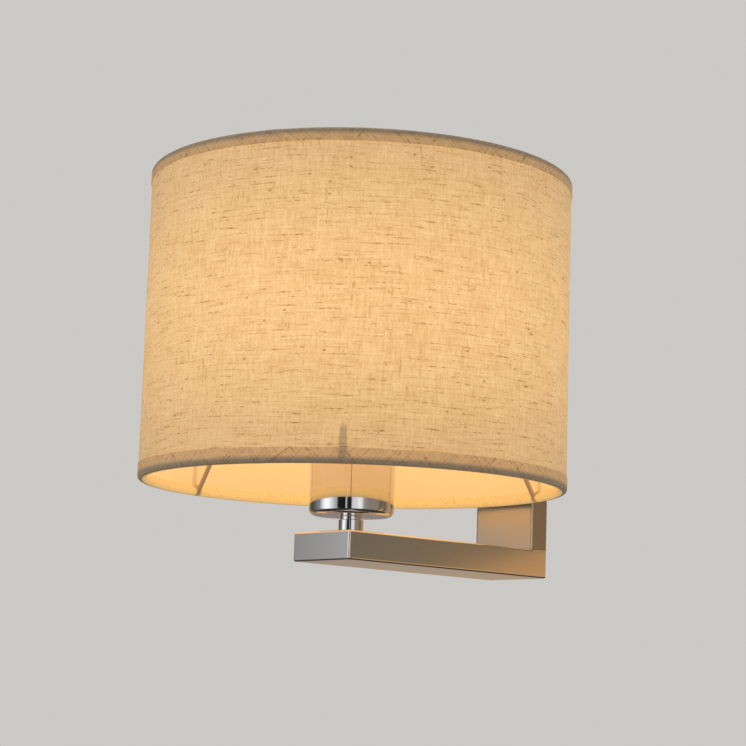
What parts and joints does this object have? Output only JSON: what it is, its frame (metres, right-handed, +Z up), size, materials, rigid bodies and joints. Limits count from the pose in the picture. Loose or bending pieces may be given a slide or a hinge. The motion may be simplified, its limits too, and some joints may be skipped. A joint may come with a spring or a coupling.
{
  "type": "fabric shade wall light",
  "caption": "Wall light with a linen drum shade on a chrome L bracket: hidden wall strap, lampholder with cup, wire spider and bulb; the shade turns and the bulb and shade ring unscrew.",
  "frame": {"origin": "middle of the two wall slots, on the wall face of the strap", "axes": "X along the wall, the lamp stands out towards -Y, +Z up"},
  "size_m": [0.22, 0.236, 0.1996],
  "materials": {
    "bracket_chrome": "polished nickel-chrome plating",
    "cup_chrome": "bright mirror chrome",
    "zinc_steel": "zinc-plated steel",
    "brass": "plain brass",
    "grommet_rubber": "soft black rubber",
    "block_nylon": "natural nylon",
    "lead_brown": "brown insulation",
    "lead_blue": "blue insulation",
    "lead_green": "green and yellow insulation",
    "holder_plastic": "white heat-resistant moulding",
    "steatite": "unglazed steatite",
    "white_wire": "white powder-coated steel wire",
    "linen": "natural slubbed linen",
    "liner_film": "white styrene film",
    "bias_tape": "bias-cut linen tape",
    "opal_glass": "opal glass, lit from inside",
    "clear_glass": "clear glass",
    "cap_metal": "nickel-plated brass cap",
    "dark_glass": "black vitrite",
    "filament_metal": "tungsten and nickel wire"
  },
  "bodies": {
    "bracket": {"wall_strap": "zinc_steel", "side_screws": "cup_chrome", "cable_grommet": "grommet_rubber", "terminal_block": "block_nylon", "terminal_inserts": "brass", "terminal_screws": "zinc_steel", "earth_tag": "brass", "earth_screw": "zinc_steel", "lead_live": "lead_brown", "lead_neutral": "lead_blue", "lead_earth": "lead_green", "wall_plate": "bracket_chrome", "arm_tube": "bracket_chrome", "arm_end_cap": "bracket_chrome", "stem_sleeve": "cup_chrome", "stem_collar": "cup_chrome", "threaded_nipple": "zinc_steel", "lock_washer": "zinc_steel", "nipple_nut": "zinc_steel", "lampholder_cup": "cup_chrome", "lampholder_base": "holder_plastic", "lampholder_body": "holder_plastic", "contact_insert": "steatite", "screw_shell": "brass", "centre_contact": "brass", "side_contact": "brass", "holder_terminals": "brass", "holder_terminal_screws": "zinc_steel", "lower_shade_ring": "holder_plastic"},
    "shade": {"fitter_ring": "white_wire", "shade_spoke_1": "white_wire", "shade_spoke_2": "white_wire", "shade_spoke_3": "white_wire", "bottom_wire": "white_wire", "top_wire": "white_wire", "shade_fabric": "linen", "shade_liner": "liner_film", "bottom_binding": "bias_tape", "top_binding": "bias_tape"},
    "ring_washer": {"slip_washer": "zinc_steel"},
    "shade_ring": {"upper_shade_ring": "holder_plastic"},
    "bulb_carrier": {"bulb_contact": "brass"},
    "bulb": {"bulb_cap": "cap_metal", "bulb_insulator": "dark_glass", "bulb_globe": "opal_glass", "bulb_stem": "clear_glass", "bulb_filament": "filament_metal"}
  },
  "joints": [
    {"name": "shade_turn", "type": "hinge", "parent": "bracket", "child": "shade", "pos_m": [0, -0.126, 0.0176], "axis": [0, 0, 1], "continuous": true},
    {"name": "ring_rise", "type": "slide", "parent": "bracket", "child": "ring_washer", "axis": [0, 0, 1], "range_m": [0, 0.0075]},
    {"name": "ring_turn", "type": "hinge", "parent": "ring_washer", "child": "shade_ring", "pos_m": [0, -0.126, 0.022], "axis": [0, 0, 1], "range_deg": [0, 1080]},
    {"name": "bulb_rise", "type": "slide", "parent": "bracket", "child": "bulb_carrier", "axis": [0, 0, 1], "range_m": [0, 0.0181]},
    {"name": "bulb_turn", "type": "hinge", "parent": "bulb_carrier", "child": "bulb", "pos_m": [0, -0.126, 0.02], "axis": [0, 0, 1], "range_deg": [0, 1800]}
  ],
  "couplings": [
    {"joint": "ring_rise", "follows": "ring_turn", "m_per_rad": 0.00039789},
    {"joint": "bulb_rise", "follows": "bulb_turn", "m_per_rad": 0.00057614}
  ]
}
